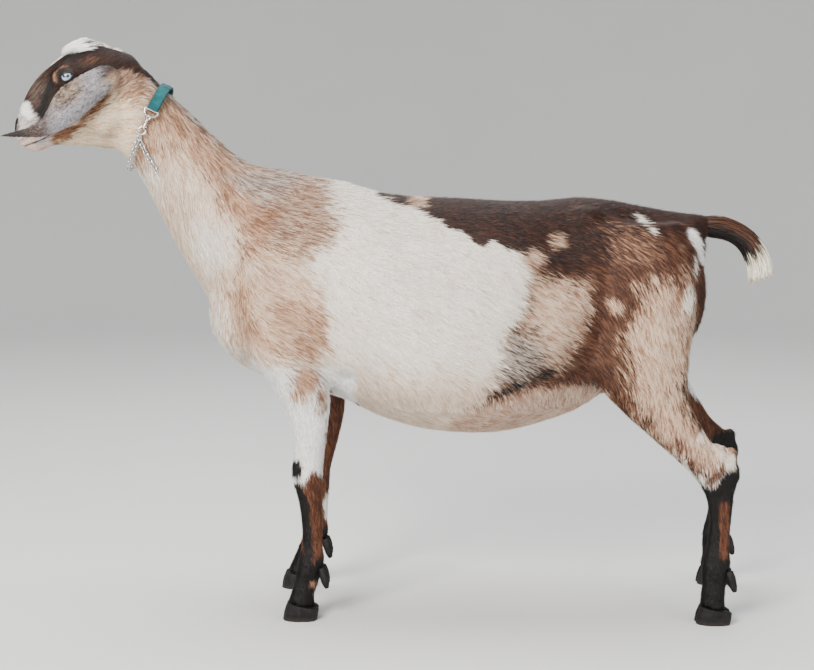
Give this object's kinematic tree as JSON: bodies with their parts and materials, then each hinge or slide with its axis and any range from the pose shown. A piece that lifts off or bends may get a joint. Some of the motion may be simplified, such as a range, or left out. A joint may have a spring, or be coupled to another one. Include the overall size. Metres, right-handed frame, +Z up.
{
  "type": "mini nubian goat",
  "caption": "Still, life-size standing dairy goat with long drooping ears, a convex face, a raised tail, cloven hooves and a leather and chain show collar.",
  "frame": {"origin": "middle of the model's box, at the floor", "axes": "+Z up, the head points along -X and the tail along +X, the animal's left side faces -Y"},
  "size_m": [1.2122, 0.3452, 0.913],
  "materials": {
    "coat": "short goat hair, white, tan, dark brown and black by region",
    "ear": "very short grey-white roan hair with a dark brown tip",
    "hoof": "dull dark grey horn with growth rings",
    "eye": "polished glass eye with a pale blue iris and a level slit pupil",
    "strap": "teal dyed leather with dark stitching",
    "metal": "polished chrome"
  },
  "bodies": {
    "root": {"head": "coat", "neck": "coat", "torso": "coat", "tail": "coat", "leg_fore_left": "coat", "leg_fore_right": "coat", "leg_hind_left": "coat", "leg_hind_right": "coat", "ear_left": "ear", "ear_right": "ear", "eye_left": "eye", "eye_right": "eye", "hoof_fore_left_outer": "hoof", "hoof_fore_left_inner": "hoof", "hoof_fore_right_outer": "hoof", "hoof_fore_right_inner": "hoof", "hoof_hind_left_outer": "hoof", "hoof_hind_left_inner": "hoof", "hoof_hind_right_outer": "hoof", "hoof_hind_right_inner": "hoof", "dewclaw_fore_left_outer": "hoof", "dewclaw_fore_left_inner": "hoof", "dewclaw_fore_right_outer": "hoof", "dewclaw_fore_right_inner": "hoof", "dewclaw_hind_left_outer": "hoof", "dewclaw_hind_left_inner": "hoof", "dewclaw_hind_right_outer": "hoof", "dewclaw_hind_right_inner": "hoof", "collar_strap": "strap", "collar_ring_left": "metal", "collar_ring_right": "metal", "collar_snap": "metal", "collar_chain": "metal"}
  },
  "joints": []
}
